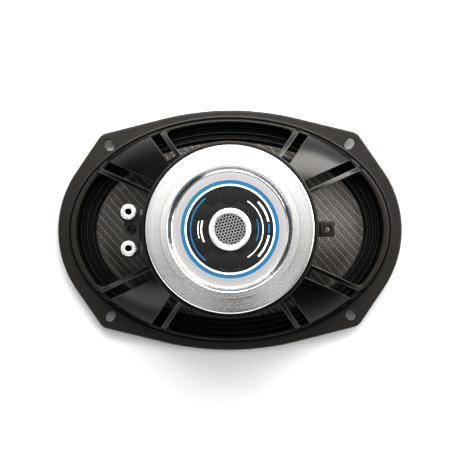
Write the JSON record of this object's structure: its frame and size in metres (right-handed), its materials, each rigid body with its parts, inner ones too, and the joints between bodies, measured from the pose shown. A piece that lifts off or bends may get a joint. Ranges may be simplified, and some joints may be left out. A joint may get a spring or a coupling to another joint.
{
  "type": "car speaker driver",
  "caption": "Oval car speaker driver: cast basket, cone on a pleated surround, voice coil motor in a turned metal cup, push terminals.",
  "frame": {"origin": "middle of the front gasket's face, which is the base the speaker lies on", "axes": "+Z out of the back of the speaker, along the motor's axis; +X along the length, away from the terminals; +Y across"},
  "size_m": [0.236, 0.1644, 0.081],
  "materials": {
    "frame_paint": "matt powder coat",
    "gasket_foam": "closed-cell foam",
    "surround_cloth": "coated pleated cloth",
    "cone_weave": "carbon fibre twill",
    "cap_weave": "carbon fibre twill",
    "spider_cloth": "resin-coated corrugated cloth",
    "former_film": "polyimide film",
    "coil_wire": "enamelled copper wire",
    "lead_braid": "braided tinsel wire",
    "brass": "turned brass",
    "steel": "zinc plated",
    "neodymium": "nickel plated magnet",
    "copper": "turned copper",
    "screw_black": "black oxide",
    "turned_aluminium": "fine turned, clear anodised",
    "label_print": "printed and glossy, with blue and silver rings",
    "mesh_steel": "perforated sheet",
    "block_plastic": "moulded glass-filled nylon",
    "nickel": "nickel plated",
    "spring_steel": "spring wire"
  },
  "bodies": {
    "frame": {"basket": "frame_paint", "gasket": "gasket_foam", "surround": "surround_cloth", "spider": "spider_cloth", "tinsel_lead_pos": "lead_braid", "tinsel_lead_neg": "lead_braid", "top_plate": "steel", "magnet": "neodymium", "pole_yoke": "steel", "shorting_ring": "copper", "motor_screws": "screw_black", "back_cup": "turned_aluminium", "motor_label": "label_print", "vent_collar": "turned_aluminium", "vent_mesh": "mesh_steel", "terminal_block": "block_plastic", "terminal_screw": "screw_black", "terminal_post_pos": "brass", "terminal_post_neg": "brass", "terminal_spring_pos": "spring_steel", "terminal_spring_neg": "spring_steel", "solder_tag_pos": "brass", "solder_tag_neg": "brass", "post_nut_pos": "brass", "post_nut_neg": "brass"},
    "diaphragm": {"cone": "cone_weave", "dust_cap": "cap_weave", "coil_former": "former_film", "voice_coil": "coil_wire", "lead_eyelets": "brass"},
    "knob_pos": {"terminal_knob_pos": "nickel"},
    "knob_neg": {"terminal_knob_neg": "nickel"}
  },
  "joints": [
    {"name": "cone_stroke", "type": "slide", "parent": "frame", "child": "diaphragm", "axis": [0, 0, 1], "range_m": [-0.005, 0.005], "stiffness_N_per_m": 5000, "deforming": ["surround", "spider", "tinsel_lead_pos", "tinsel_lead_neg"]},
    {"name": "knob_press_pos", "type": "slide", "parent": "frame", "child": "knob_pos", "axis": [0, 0, -1], "range_m": [0, 0.003], "stiffness_N_per_m": 600, "springref_m": -0.001, "deforming": ["terminal_spring_pos"]},
    {"name": "knob_press_neg", "type": "slide", "parent": "frame", "child": "knob_neg", "axis": [0, 0, -1], "range_m": [0, 0.003], "stiffness_N_per_m": 600, "springref_m": -0.001, "deforming": ["terminal_spring_neg"]}
  ]
}
